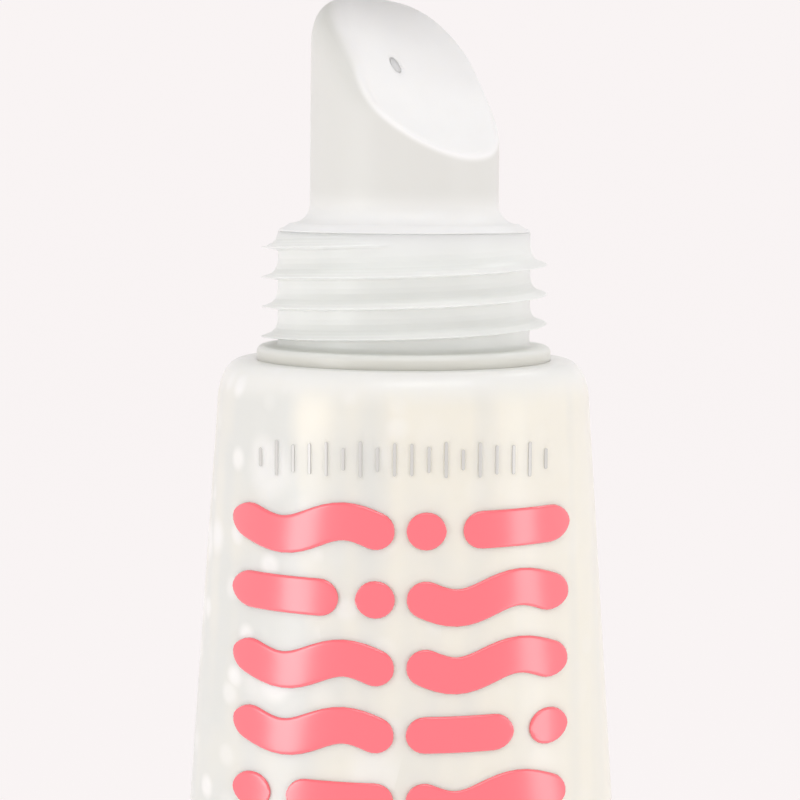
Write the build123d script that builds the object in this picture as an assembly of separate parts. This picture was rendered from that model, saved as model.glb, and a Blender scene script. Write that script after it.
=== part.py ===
from build123d import *
import math
import os

# A squeezable lip gloss tube with a slanted applicator tip, standing tip up, its screw cap lifted
# clear of the tip. Millimetres, +Z up along the tube's axis, X across the crimp. The origin is
# the middle of the crimp's bottom edge.

# Angles of the corners along a rounded edge, in radians
QUARTER_TURN = [math.radians(90 * step / 8) for step in range(9)]

# Sleeve
SLEEVE_R = 9.5
SLEEVE_WALL = 0.5
SLEEVE_TOP = 80.0
CRIMP_HALF_WIDTH = 14.7
CRIMP_HALF_THICK = 0.5
CRIMP_HEIGHT = 5.0
CRIMP_CORNER = 0.45
TAPER_TOP = 77.8
FULLNESS_IN = 1.2
FULLNESS_OUT = 0.72
TAPER_STEPS = (0.0, 0.12, 0.26, 0.42, 0.58, 0.73, 0.86, 0.95, 1.0)
CAVITY_END = 0.99

# Head: shoulder, flange and threaded neck
BOND_GAP = 0.04
SKIRT_DEPTH = 3.5
SKIRT_WALL = 0.8
FUNNEL_FOOT = SLEEVE_TOP - 2.6
FUNNEL_TOP = SLEEVE_TOP - 1.4
SHOULDER_FLAT_R = 8.3
FLANGE_R = 7.5
FLANGE_TOP = SLEEVE_TOP + 0.7
NECK_R = 6.42
NECK_BORE_R = 5.2
NECK_TOP = SLEEVE_TOP + 6.5
RIM_CHAMFER = 0.15

# Thread on the neck, a right-hand buttress
PITCH = 1.5
THREAD_CREST_R = 7.3
THREAD_CREST = 0.14
THREAD_LOW_FLANK = 0.12
THREAD_KNEE_R = 6.8
THREAD_KNEE = 0.42
THREAD_HIGH_FLANK = 0.95
THREAD_TURNS = 3.5
THREAD_START_DEG = 90.0
THREAD_START_Z = SLEEVE_TOP + 0.72
ROOT_SINK = 0.12

# Applicator tip
TIP_FLANGE_R = 5.9
TIP_FLANGE_TOP = NECK_TOP + 0.35
TIP_FLARE = 1.0
TIP_BASE_R = TIP_FLANGE_R - TIP_FLARE
TIP_TOP_R = 4.75
TIP_TOP = SLEEVE_TOP + 18.65
TIP_WALL = 0.95
TIP_FACE_WALL = 1.33
PLUG_DEPTH = 4.0
PLUG_INNER_R = 4.3
PLUG_LEAD_IN = 0.2
PLUG_TAPER_FOOT = NECK_TOP - 2.5
PLUG_TAPER_TOP = NECK_TOP - 1.0
SLANT_AZIMUTH = 135.0
SLANT_RISE = ((-1.6, 8.6), (-1.0, 10.1), (-0.6, 11.6), (-0.3, 13.4), (0.0, 15.4),
              (0.3, 16.95), (0.6, 18.05), (0.85, 18.55), (1.0, 18.65), (1.6, 18.7))
ORIFICE_R = 0.3
ORIFICE_AT = (-0.5, -1.1)

# Gloss
GLOSS_GAP = 0.05
GLOSS_END = 0.985
GLOSS_TOP = SLEEVE_TOP + 9.6
GLOSS_OVERLAP = 0.4

# Cap
CAP_LIFT = 21 * PITCH
CAP_FOOT = SLEEVE_TOP + 0.15
CAP_FOOT_R = 9.4
CAP_HEAD_R = 9.0
CAP_TOP = SLEEVE_TOP + 20.9
CAP_ROOF = 1.3
CAP_EDGE = 1.0
CAP_UPPER_BORE_R = 7.3
CAP_BORE_CHAMFER = 0.5
LINER_R = 8.2
LINER_FOOT = FLANGE_TOP + 0.3
LINER_BORE_R = 7.45
LINER_POCKET_FOOT = NECK_TOP - 0.1
LINER_POCKET_R = 6.9
LINER_WEB_FOOT = SLEEVE_TOP + 8.25
LINER_WEB = 0.8
LINER_WEB_R = 5.45
LINER_THREAD_R = 6.6
LINER_THREAD_TURNS = 2.4
LINER_THREAD_START_Z = THREAD_START_Z + 1.5 * PITCH - 0.66
LINER_THREAD_CREST = (0.16, 0.4)
LINER_THREAD_ROOT = (-0.44, 0.44)
GASKET_R = 6.82
GASKET_BORE_R = 5.6
GASKET_FOOT = SLEEVE_TOP + 6.95
GASKET_THICK = 1.2


def lathe(points):
    """A solid turned about Z from (radius, height) corners."""
    outline = Polyline(*[(r, 0, z) for r, z in points], close=True)
    return revolve(make_face(outline), Axis.Z)


def sleeve_half_sizes(t):
    """Half width and half thickness of the sleeve, t running from 0 at the round end to 1 at the crimp."""
    wide = SLEEVE_R + (CRIMP_HALF_WIDTH - SLEEVE_R) * t
    full = (1 - t**FULLNESS_IN) ** FULLNESS_OUT
    return wide, CRIMP_HALF_THICK + (SLEEVE_R - CRIMP_HALF_THICK) * full


def taper_z(t):
    return TAPER_TOP + (CRIMP_HEIGHT - TAPER_TOP) * t


def tapered_body(inset, last, first=0.0):
    """The sleeve's tapering length, drawn in by inset, from t = first down to t = last."""
    inside = [t for t in TAPER_STEPS if first < t < last]
    sections = []
    for t in (first, *inside, last):
        wide, thick = sleeve_half_sizes(t)
        ring = Ellipse(wide - inset, thick - inset)
        sections.append(Pos(0, 0, taper_z(t)) * ring)
    return loft(sections)


def shoulder_turn(inset):
    """The rolled shoulder edge as (radius, height) corners, drawn in by inset."""
    across = SLEEVE_R - SHOULDER_FLAT_R
    down = SLEEVE_TOP - TAPER_TOP
    corners = []
    for turn in QUARTER_TURN:
        r = SHOULDER_FLAT_R + (across - inset) * math.cos(turn)
        z = TAPER_TOP + (down - inset) * math.sin(turn)
        corners.append((r, z))
    return corners


def tube_sleeve():
    skin = tapered_body(0, 1.0) - tapered_body(SLEEVE_WALL, CAVITY_END)
    outer = shoulder_turn(0)
    inner = shoulder_turn(SLEEVE_WALL)
    end_r = FLANGE_R + BOND_GAP
    rim = [(end_r, SLEEVE_TOP), (end_r, SLEEVE_TOP - SLEEVE_WALL)]
    top = lathe(outer + rim + inner[::-1])
    flat = 2 * CRIMP_HALF_THICK
    crimp = Box(2 * CRIMP_HALF_WIDTH, flat, CRIMP_HEIGHT, align=(Align.CENTER, Align.CENTER, Align.MIN))
    crimp = fillet(crimp.edges().filter_by(Axis.Z), CRIMP_CORNER)
    return skin + top + crimp


def helix_ridge(profile, turns, start_z, start_deg):
    """A ridge of the given (radius, height) profile wound right-handed about Z."""
    radius = profile[0][0]
    path = Helix(PITCH, PITCH * turns, radius)
    outline = Polyline(*[(r, 0, z) for r, z in profile], close=True)
    ridge = sweep(make_face(outline), path=path, is_frenet=True)
    return Pos(0, 0, start_z) * Rot(0, 0, start_deg) * ridge


def neck_thread():
    root = NECK_R - ROOT_SINK
    profile = [
        (root, -THREAD_LOW_FLANK),
        (THREAD_CREST_R, 0),
        (THREAD_CREST_R, THREAD_CREST),
        (THREAD_KNEE_R, THREAD_KNEE),
        (root, THREAD_HIGH_FLANK),
    ]
    return helix_ridge(profile, THREAD_TURNS, THREAD_START_Z, THREAD_START_DEG)


def tube_head():
    skirt_r = SLEEVE_R - SLEEVE_WALL - BOND_GAP
    foot = SLEEVE_TOP - SKIRT_DEPTH
    turn = shoulder_turn(SLEEVE_WALL + BOND_GAP)
    under = SLEEVE_TOP - SLEEVE_WALL - BOND_GAP
    corners = [(skirt_r - SKIRT_WALL, foot), (skirt_r, foot), *turn]
    corners += [(FLANGE_R, under), (FLANGE_R, FLANGE_TOP), (NECK_R, FLANGE_TOP)]
    corners += [(NECK_R, NECK_TOP - RIM_CHAMFER), (NECK_R - RIM_CHAMFER, NECK_TOP)]
    corners += [(NECK_BORE_R, NECK_TOP), (NECK_BORE_R, FUNNEL_TOP), (skirt_r - SKIRT_WALL, FUNNEL_FOOT)]
    return lathe(corners) + neck_thread()


def slant_plane():
    """Upright plane along the slant: x points at the tip's high side, y is up."""
    turn = math.radians(SLANT_AZIMUTH)
    high = Vector(math.cos(turn), math.sin(turn), 0)
    return Plane(origin=(0, 0, SLEEVE_TOP), x_dir=high, z_dir=high.cross(Vector(0, 0, 1)))


def above_slant(drop):
    """Everything above the slanted face, which is lowered by drop."""
    face = [(s * TIP_BASE_R, h - drop) for s, h in SLANT_RISE]
    curve = Spline(*face)
    left, right = face[0], face[-1]
    ceiling = right[1] + 8
    sides = Polyline(right, (right[0], ceiling), (left[0], ceiling), left)
    side = make_face(slant_plane() * (curve + sides))
    return extrude(side, amount=2 * TIP_BASE_R, both=True)


def applicator_tip():
    foot = NECK_TOP - PLUG_DEPTH
    plug_r = NECK_BORE_R - BOND_GAP
    seat = NECK_TOP + BOND_GAP
    lead_in = [(plug_r - PLUG_LEAD_IN, foot), (plug_r, foot + 2 * PLUG_LEAD_IN)]
    corners = [(0, foot), *lead_in, (plug_r, seat), (TIP_FLANGE_R, seat)]
    for turn in QUARTER_TURN:
        r = TIP_FLANGE_R - TIP_FLARE * math.sin(turn)
        z = TIP_FLANGE_TOP + TIP_FLARE * (1 - math.cos(turn))
        corners.append((r, z))
    top = TIP_TOP + 1
    corners += [(TIP_TOP_R, top), (0, top)]
    body = lathe(corners) - above_slant(0)
    hollow_r = TIP_TOP_R - TIP_WALL
    below = foot - 1
    mouth = [(0, below), (PLUG_INNER_R, below), (PLUG_INNER_R, PLUG_TAPER_FOOT), (hollow_r, PLUG_TAPER_TOP)]
    hollow = lathe([*mouth, (hollow_r, top), (0, top)]) - above_slant(TIP_FACE_WALL)
    upright = (Align.CENTER, Align.CENTER, Align.MIN)
    orifice = Pos(*ORIFICE_AT, PLUG_TAPER_TOP) * Cylinder(ORIFICE_R, top - PLUG_TAPER_TOP, align=upright)
    return body - hollow - orifice


def gloss_fill():
    shoulder_foot = SLEEVE_TOP - SKIRT_DEPTH - GLOSS_GAP
    top_t = (TAPER_TOP - shoulder_foot) / (TAPER_TOP - CRIMP_HEIGHT)
    bulk = tapered_body(SLEEVE_WALL + GLOSS_GAP, GLOSS_END, top_t)
    skirt_r = SLEEVE_R - SLEEVE_WALL - BOND_GAP - SKIRT_WALL - GLOSS_GAP
    bore_r = NECK_BORE_R - GLOSS_GAP
    plug_foot = NECK_TOP - PLUG_DEPTH - GLOSS_GAP
    plug_r = PLUG_INNER_R - GLOSS_GAP
    tip_r = TIP_TOP_R - TIP_WALL - 3 * GLOSS_GAP
    foot = shoulder_foot - GLOSS_OVERLAP
    corners = [(0, foot), (skirt_r, foot), (skirt_r, FUNNEL_FOOT - GLOSS_GAP)]
    corners += [(bore_r, FUNNEL_TOP - 2 * GLOSS_GAP), (bore_r, plug_foot), (plug_r, plug_foot)]
    corners += [(plug_r, PLUG_TAPER_FOOT - 4 * GLOSS_GAP), (tip_r, PLUG_TAPER_TOP), (tip_r, GLOSS_TOP)]
    return bulk + lathe([*corners, (0, GLOSS_TOP)])


def cap_shell():
    inner_foot_r = LINER_R + BOND_GAP
    seat = LINER_WEB_FOOT + LINER_WEB + BOND_GAP
    corners = [(inner_foot_r, CAP_FOOT), (CAP_FOOT_R, CAP_FOOT)]
    edge_z = CAP_TOP - CAP_EDGE
    edge_r = CAP_HEAD_R - CAP_EDGE
    for turn in QUARTER_TURN:
        corners.append((edge_r + CAP_EDGE * math.cos(turn), edge_z + CAP_EDGE * math.sin(turn)))
    roof = CAP_TOP - CAP_ROOF
    corners += [(0, CAP_TOP), (0, roof)]
    corners += [(CAP_UPPER_BORE_R - CAP_BORE_CHAMFER, roof), (CAP_UPPER_BORE_R, roof - CAP_BORE_CHAMFER)]
    corners += [(CAP_UPPER_BORE_R, seat), (inner_foot_r, seat)]
    return Pos(0, 0, CAP_LIFT) * lathe(corners)


def liner_thread():
    root = LINER_BORE_R + ROOT_SINK
    crest_foot, crest_top = LINER_THREAD_CREST
    root_foot, root_top = LINER_THREAD_ROOT
    profile = [(LINER_THREAD_R, crest_foot), (root, root_foot), (root, root_top), (LINER_THREAD_R, crest_top)]
    return helix_ridge(profile, LINER_THREAD_TURNS, LINER_THREAD_START_Z, THREAD_START_DEG + 180)


def cap_liner():
    web_top = LINER_WEB_FOOT + LINER_WEB
    corners = [
        (LINER_BORE_R, LINER_FOOT),
        (LINER_R, LINER_FOOT),
        (LINER_R, web_top),
        (LINER_WEB_R, web_top),
        (LINER_WEB_R, LINER_WEB_FOOT),
        (LINER_POCKET_R, LINER_WEB_FOOT),
        (LINER_POCKET_R, LINER_POCKET_FOOT),
        (LINER_BORE_R, LINER_POCKET_FOOT),
    ]
    return Pos(0, 0, CAP_LIFT) * (lathe(corners) + liner_thread())


def cap_gasket():
    top = GASKET_FOOT + GASKET_THICK
    inner = [(GASKET_BORE_R, top), (GASKET_BORE_R, GASKET_FOOT)]
    outer = [(GASKET_R, GASKET_FOOT), (GASKET_R, top)]
    return Pos(0, 0, CAP_LIFT) * lathe(inner + outer)


PIECES = {
    "tube_sleeve": tube_sleeve,
    "tube_head": tube_head,
    "applicator_tip": applicator_tip,
    "gloss_fill": gloss_fill,
    "cap_shell": cap_shell,
    "cap_liner": cap_liner,
    "cap_gasket": cap_gasket,
}

os.makedirs("parts", exist_ok=True)
for name, make in PIECES.items():
    piece = make()
    export_step(piece, f"parts/{name}.step")
    print(name, round(piece.volume, 1), piece.is_valid)
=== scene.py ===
"""Lip gloss tube: soft sleeve full of pearly gel, threaded head, slanted tip and a lifted screw cap.

Every sub-assembly is a class that keeps its own sizes, in millimetres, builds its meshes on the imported
frame and dresses them. The frame is in metres, +Z up along the tube, with the printed front at -Y.
"""

import logging
import math
from collections.abc import Callable
from dataclasses import dataclass, field
from enum import Enum

import bmesh
import bpy
import numpy as np
from mathutils import Matrix, Vector


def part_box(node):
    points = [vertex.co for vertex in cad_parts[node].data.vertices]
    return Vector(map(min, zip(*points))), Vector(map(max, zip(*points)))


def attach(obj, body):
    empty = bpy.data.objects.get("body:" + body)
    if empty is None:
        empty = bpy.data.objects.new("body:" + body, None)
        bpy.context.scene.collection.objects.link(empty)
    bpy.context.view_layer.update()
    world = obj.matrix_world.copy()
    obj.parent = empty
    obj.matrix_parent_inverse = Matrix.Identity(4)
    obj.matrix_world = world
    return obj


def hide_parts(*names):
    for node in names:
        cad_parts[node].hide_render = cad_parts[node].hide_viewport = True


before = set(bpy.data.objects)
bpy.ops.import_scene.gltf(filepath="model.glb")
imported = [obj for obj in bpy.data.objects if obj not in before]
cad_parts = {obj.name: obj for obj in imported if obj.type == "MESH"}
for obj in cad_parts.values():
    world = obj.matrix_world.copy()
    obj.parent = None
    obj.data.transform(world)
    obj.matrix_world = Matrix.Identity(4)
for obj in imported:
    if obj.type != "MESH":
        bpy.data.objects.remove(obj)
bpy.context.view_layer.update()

MM = 0.001
# share of the gel-side colour: gel seen through the wall, and also painted shade and painted highlight
GEL_AND_LIGHT_ATTRIBUTE = "gel_and_painted_light"
FULL_TURN = 2 * math.pi
NOISE_SPAN = {"From Min": 0.3, "From Max": 0.7}  # where nearly all of a noise texture's values lie
LOG = logging.getLogger("lip_gloss_tube")


class Body(Enum):
    """The rigid bodies that pieces ride on."""

    TUBE = "tube"
    GASKET = "gasket"
    CAP = "cap"


class Slot(Enum):
    """The record's material slots."""

    SLEEVE = "sleeve_plastic"
    HEAD = "head_plastic"
    TIP = "tip_plastic"
    GEL = "gloss_gel"
    CAP = "cap_plastic"
    LINER = "liner_plastic"
    GASKET = "gasket_foam"
    INK = "print_ink"


# ---------------------------------------------------------------- shading helpers


def linear(hex_colour: str) -> tuple[float, float, float, float]:
    """Turn an sRGB hex colour into linear RGBA.

    Args:
        hex_colour: six hex digits with a leading hash.

    Returns:
        The linear colour with an alpha of 1.
    """
    channels = [int(hex_colour[i : i + 2], 16) / 255 for i in (1, 3, 5)]
    values = [c / 12.92 if c <= 0.04045 else ((c + 0.055) / 1.055) ** 2.4 for c in channels]
    return (*values, 1.0)


def add_node(
    tree: bpy.types.NodeTree, kind: str, settings: dict | None = None, links: dict | None = None
) -> bpy.types.Node:
    """Add one node with its settings and incoming links.

    Args:
        tree: the node tree that the node joins.
        kind: the node's Blender type name.
        settings: attribute names, or input socket names or numbers, and their values.
        links: input socket names or numbers, and the output sockets that feed them.

    Returns:
        The new node.
    """
    node = tree.nodes.new(kind)
    for key, value in (settings or {}).items():
        if isinstance(key, int) or key in node.inputs:
            node.inputs[key].default_value = value
        else:
            setattr(node, key, value)
    for key, source in (links or {}).items():
        tree.links.new(source, node.inputs[key])
    return node


def new_material(name: str) -> tuple[bpy.types.Material, bpy.types.NodeTree]:
    """Make an empty node material.

    Args:
        name: the material's name.

    Returns:
        The material and its node tree.
    """
    material = bpy.data.materials.new(name)
    material.use_nodes = True
    material.node_tree.nodes.clear()
    return material, material.node_tree


def ramp_stops(node: bpy.types.Node, stops: list[tuple[float, tuple]]) -> None:
    """Set a colour ramp's stops.

    Args:
        node: the colour ramp node.
        stops: positions from 0 to 1 with their linear colours.
    """
    elements = node.color_ramp.elements
    while len(elements) > 1:
        elements.remove(elements[-1])
    elements[0].position, elements[0].color = stops[0]
    for position, colour in stops[1:]:
        elements.new(position).color = colour


# ---------------------------------------------------------------- finishes


@dataclass(frozen=True)
class MouldedPolyolefin:
    """Milky polyethylene or polypropylene, injection moulded against a satin or polished steel cavity.

    Light goes about a millimetre into it and comes back milky, so edges glow and hollows stay soft. The
    melt's flow leaves faint clouds, and the cavity's polish leaves a shallow waviness that only shows in
    the highlights. Where the wall has gel behind it, as its stored attribute says, it blends to the darker
    third colour and looks deeper; that blend is also painted shade, low on the neck and down the tip's
    barrel.
    """

    name: str
    colour: str
    shade: str
    backed_and_shaded_colour: str
    roughness: float = 0.34
    polish_spread: float = 0.04
    depth_mm: float = 1.1
    waviness_mm: float = 1.3
    waviness_height_mm: float = 0.006
    cloud_mm: float = 4.0

    def make(self) -> bpy.types.Material:
        """Build the node material."""
        material, tree = new_material(self.name)
        place = add_node(tree, "ShaderNodeTexCoord").outputs["Object"]
        cloud = add_node(
            tree,
            "ShaderNodeTexNoise",
            {"Scale": 1 / (self.cloud_mm * MM), "Detail": 2.0, "Roughness": 0.5},
            {"Vector": place},
        )
        tint = add_node(tree, "ShaderNodeValToRGB", None, {"Fac": cloud.outputs["Fac"]})
        ramp_stops(tint, [(0.35, linear(self.shade)), (0.65, linear(self.colour))])
        # blend to the darker third colour: gel behind the wall, and painted shade on the neck's foot and
        # down the tip's barrel
        gel_and_light_share = add_node(tree, "ShaderNodeAttribute", {"attribute_name": GEL_AND_LIGHT_ATTRIBUTE})
        backed_and_shaded = add_node(
            tree,
            "ShaderNodeMix",
            {"data_type": "RGBA", 7: linear(self.backed_and_shaded_colour)},
            {0: gel_and_light_share.outputs["Fac"], 6: tint.outputs["Color"]},
        )
        waviness = add_node(
            tree,
            "ShaderNodeTexNoise",
            {"Scale": 1 / (self.waviness_mm * MM), "Detail": 1.0},
            {"Vector": place},
        )
        polish = add_node(
            tree,
            "ShaderNodeMapRange",
            {
                **NOISE_SPAN,
                "To Min": self.roughness - self.polish_spread,
                "To Max": self.roughness + self.polish_spread,
            },
            {"Value": waviness.outputs["Fac"]},
        )
        bump = add_node(
            tree,
            "ShaderNodeBump",
            {"Strength": 0.35, "Distance": self.waviness_height_mm * MM},
            {"Height": waviness.outputs["Fac"]},
        )
        body = add_node(
            tree,
            "ShaderNodeBsdfPrincipled",
            {
                "IOR": 1.51,
                "Subsurface Weight": 0.7,
                "Subsurface Radius": (1.0, 0.97, 0.92),
                "Subsurface Scale": self.depth_mm * MM,
            },
            {
                "Base Color": backed_and_shaded.outputs[2],
                "Roughness": polish.outputs["Result"],
                "Normal": bump.outputs["Normal"],
            },
        )
        add_node(tree, "ShaderNodeOutputMaterial", None, {"Surface": body.outputs["BSDF"]})
        return material


@dataclass(frozen=True)
class GelFilledSleeve:
    """Clear extruded polyethylene film over a pearly gel.

    The film is smooth but soft, so reflections spread. The gel behind it gives the colour: cream where it
    is thick and lit through, greyer at one side by painted shade, with round air bubbles whose painted
    glints show as white spots. The bubbles crowd towards the shaded side and thin out across the tube. Where
    the film has no gel behind it, over the head's shoulder and in the crimp, it looks whiter; over the
    rolled shoulder that whiter colour is also a painted highlight.
    """

    name: str = "extruded_polyethylene_over_pearly_gel"
    cream: str = "#f3eee0"
    shaded_grey: str = "#e0e1dc"
    bare: str = "#faf8f1"
    bubble_glint: str = "#fffdf8"
    drift_mm: float = 7.0
    drift_sway: float = 0.45
    half_width_mm: float = 9.5
    shaded_bubbly_side: float = -1.0
    fewest_bubbles: float = 0.12
    bubble_sizes_mm: tuple[float, ...] = (4.6, 3.0, 1.9)
    bubble_strength: float = 0.8
    streak_mm: float = 2.2
    streak_length_mm: float = 60.0
    streak_sway: float = 0.4

    def bubbles(
        self, tree: bpy.types.NodeTree, place: bpy.types.NodeSocket, size_mm: float
    ) -> bpy.types.NodeSocket:
        """Soft round spots in some of the cells of one size: the air bubbles' painted glints.

        Args:
            tree: the material's node tree.
            place: the point being shaded.
            size_mm: the size of a cell, about twice a bubble.

        Returns:
            The spots' strength.
        """
        cells = add_node(
            tree,
            "ShaderNodeTexVoronoi",
            {"feature": "F1", "Scale": 1 / (size_mm * MM), "Randomness": 0.9},
            {"Vector": place},
        )
        disc = add_node(
            tree,
            "ShaderNodeMapRange",
            {"interpolation_type": "SMOOTHSTEP", "From Min": 0.42, "From Max": 0.14},
            {"Value": cells.outputs["Distance"]},
        )
        lot = add_node(tree, "ShaderNodeSeparateColor", None, {"Color": cells.outputs["Color"]})
        kept = add_node(
            tree,
            "ShaderNodeMapRange",
            {"From Min": 0.35, "From Max": 0.8, "To Min": 0.0, "To Max": self.bubble_strength},
            {"Value": lot.outputs["Red"]},
        )
        spots = add_node(
            tree,
            "ShaderNodeMath",
            {"operation": "MULTIPLY"},
            {0: disc.outputs["Result"], 1: kept.outputs["Result"]},
        )
        return spots.outputs["Value"]

    def make(self) -> bpy.types.Material:
        """Build the node material."""
        material, tree = new_material(self.name)
        place = add_node(tree, "ShaderNodeTexCoord").outputs["Object"]
        drift = add_node(
            tree,
            "ShaderNodeTexNoise",
            {"Scale": 1 / (self.drift_mm * MM), "Detail": 2.0},
            {"Vector": place},
        )
        across = add_node(tree, "ShaderNodeSeparateXYZ", None, {"Vector": place})
        # painted shade: the gel greys towards one side of the tube, and its bubbles crowd there
        side = add_node(
            tree,
            "ShaderNodeMapRange",
            {
                "interpolation_type": "SMOOTHSTEP",
                "From Min": -self.shaded_bubbly_side * 0.45 * self.half_width_mm * MM,
                "From Max": self.shaded_bubbly_side * self.half_width_mm * MM,
            },
            {"Value": across.outputs["X"]},
        )
        streak, length = 1 / (self.streak_mm * MM), 1 / (self.streak_length_mm * MM)
        drawn = add_node(tree, "ShaderNodeMapping", {"Scale": (streak, streak, length)}, {"Vector": place})
        streaks = add_node(
            tree, "ShaderNodeTexNoise", {"Scale": 1.0, "Detail": 1.0}, {"Vector": drawn.outputs["Vector"]}
        )
        shade_and_drift = side.outputs["Result"]
        for pattern, sway in ((drift, self.drift_sway), (streaks, self.streak_sway)):
            swayed = add_node(
                tree,
                "ShaderNodeMapRange",
                {**NOISE_SPAN, "To Min": -sway, "To Max": sway},
                {"Value": pattern.outputs["Fac"]},
            )
            total = add_node(
                tree,
                "ShaderNodeMath",
                {"operation": "ADD", "use_clamp": True},
                {0: shade_and_drift, 1: swayed.outputs["Result"]},
            )
            shade_and_drift = total.outputs["Value"]
        # the gel's cream, greyed by the painted shade on one side and by the random drift and streaks
        gel = add_node(tree, "ShaderNodeValToRGB", None, {"Fac": shade_and_drift})
        ramp_stops(gel, [(0.0, linear(self.cream)), (1.0, linear(self.shaded_grey))])
        gel_and_light_share = add_node(tree, "ShaderNodeAttribute", {"attribute_name": GEL_AND_LIGHT_ATTRIBUTE})
        # whiter where no gel is behind the film; over the rolled shoulder this is also a painted highlight
        base = add_node(
            tree,
            "ShaderNodeMix",
            {"data_type": "RGBA", 6: linear(self.bare)},
            {0: gel_and_light_share.outputs["Fac"], 7: gel.outputs["Color"]},
        )
        colour = base.outputs[2]
        crowd = add_node(
            tree, "ShaderNodeMapRange", {"To Min": self.fewest_bubbles}, {"Value": side.outputs["Result"]}
        )
        # painted glints: white spots where the air bubbles catch the light
        for size_mm in self.bubble_sizes_mm:
            spots = add_node(
                tree,
                "ShaderNodeMath",
                {"operation": "MULTIPLY"},
                {0: self.bubbles(tree, place, size_mm), 1: crowd.outputs["Result"]},
            )
            mixed = add_node(
                tree,
                "ShaderNodeMix",
                {"data_type": "RGBA", 7: linear(self.bubble_glint)},
                {0: spots.outputs["Value"], 6: colour},
            )
            colour = mixed.outputs[2]
        body = add_node(
            tree,
            "ShaderNodeBsdfPrincipled",
            {
                "IOR": 1.5,
                "Roughness": 0.42,
                "Subsurface Weight": 0.7,
                "Subsurface Radius": (1.0, 0.97, 0.9),
                "Subsurface Scale": 0.8 * MM,
                "Coat Weight": 0.5,
                "Coat Roughness": 0.22,
            },
            {"Base Color": colour},
        )
        add_node(tree, "ShaderNodeOutputMaterial", None, {"Surface": body.outputs["BSDF"]})
        return material


@dataclass(frozen=True)
class PearlyGel:
    """Clear gloss thick with pearl: wet, smooth and milky, with slow swirls where it was pumped in."""

    name: str = "clear_gel_with_pearl"
    colour: str = "#fbfaf7"
    swirl: str = "#f7f5ef"
    swirl_mm: float = 2.4

    def make(self) -> bpy.types.Material:
        """Build the node material."""
        material, tree = new_material(self.name)
        place = add_node(tree, "ShaderNodeTexCoord").outputs["Object"]
        swirls = add_node(
            tree,
            "ShaderNodeTexNoise",
            {"Scale": 1 / (self.swirl_mm * MM), "Detail": 1.0, "Distortion": 1.5},
            {"Vector": place},
        )
        tint = add_node(tree, "ShaderNodeValToRGB", None, {"Fac": swirls.outputs["Fac"]})
        ramp_stops(tint, [(0.35, linear(self.swirl)), (0.6, linear(self.colour))])
        body = add_node(
            tree,
            "ShaderNodeBsdfPrincipled",
            {
                "IOR": 1.47,
                "Roughness": 0.3,
                "Subsurface Weight": 0.7,
                "Subsurface Radius": (1.0, 0.97, 0.92),
                "Subsurface Scale": 1.1 * MM,
            },
            {"Base Color": tint.outputs["Color"]},
        )
        add_node(tree, "ShaderNodeOutputMaterial", None, {"Surface": body.outputs["BSDF"]})
        return material


@dataclass(frozen=True)
class RaisedInk:
    """Screen-printed ink, cured thick and glossy: a smooth film that stands up from the sleeve.

    The film levels as it cures, so its gloss is even apart from a slow ripple of the squeegee's pull.
    """

    name: str
    colour: str
    roughness: float = 0.24
    polish_spread: float = 0.04
    ripple_mm: float = 1.6
    ripple_height_mm: float = 0.006

    def make(self) -> bpy.types.Material:
        """Build the node material."""
        material, tree = new_material(self.name)
        place = add_node(tree, "ShaderNodeTexCoord").outputs["Object"]
        ripple = add_node(
            tree,
            "ShaderNodeTexNoise",
            {"Scale": 1 / (self.ripple_mm * MM), "Detail": 1.0},
            {"Vector": place},
        )
        bump = add_node(
            tree,
            "ShaderNodeBump",
            {"Strength": 0.3, "Distance": self.ripple_height_mm * MM},
            {"Height": ripple.outputs["Fac"]},
        )
        polish = add_node(
            tree,
            "ShaderNodeMapRange",
            {"To Min": self.roughness - self.polish_spread, "To Max": self.roughness + self.polish_spread},
            {"Value": ripple.outputs["Fac"]},
        )
        body = add_node(
            tree,
            "ShaderNodeBsdfPrincipled",
            {
                "Base Color": linear(self.colour),
                "IOR": 1.5,
                "Specular IOR Level": 0.8,
                "Coat Weight": 1.0,
                "Coat IOR": 1.6,
                "Coat Roughness": self.roughness,
            },
            {"Roughness": polish.outputs["Result"], "Normal": bump.outputs["Normal"]},
        )
        add_node(tree, "ShaderNodeOutputMaterial", None, {"Surface": body.outputs["BSDF"]})
        return material


@dataclass(frozen=True)
class StudioPaper:
    """Seamless paper under studio light, bright enough to read as one even tone."""

    name: str = "seamless_studio_paper"
    colour: str = "#f9f4f4"
    glow: float = 0.955
    lit_share: float = 0.06

    def make(self) -> bpy.types.Material:
        """Build the node material."""
        material, tree = new_material(self.name)
        body = add_node(
            tree,
            "ShaderNodeBsdfPrincipled",
            {
                "Base Color": tuple(self.lit_share * c for c in linear(self.colour)[:3]) + (1.0,),
                "Roughness": 1.0,
                "Specular IOR Level": 0.0,
                "Emission Color": linear(self.colour),
                "Emission Strength": self.glow,
            },
        )
        add_node(tree, "ShaderNodeOutputMaterial", None, {"Surface": body.outputs["BSDF"]})
        return material


# ---------------------------------------------------------------- mesh helpers


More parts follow.
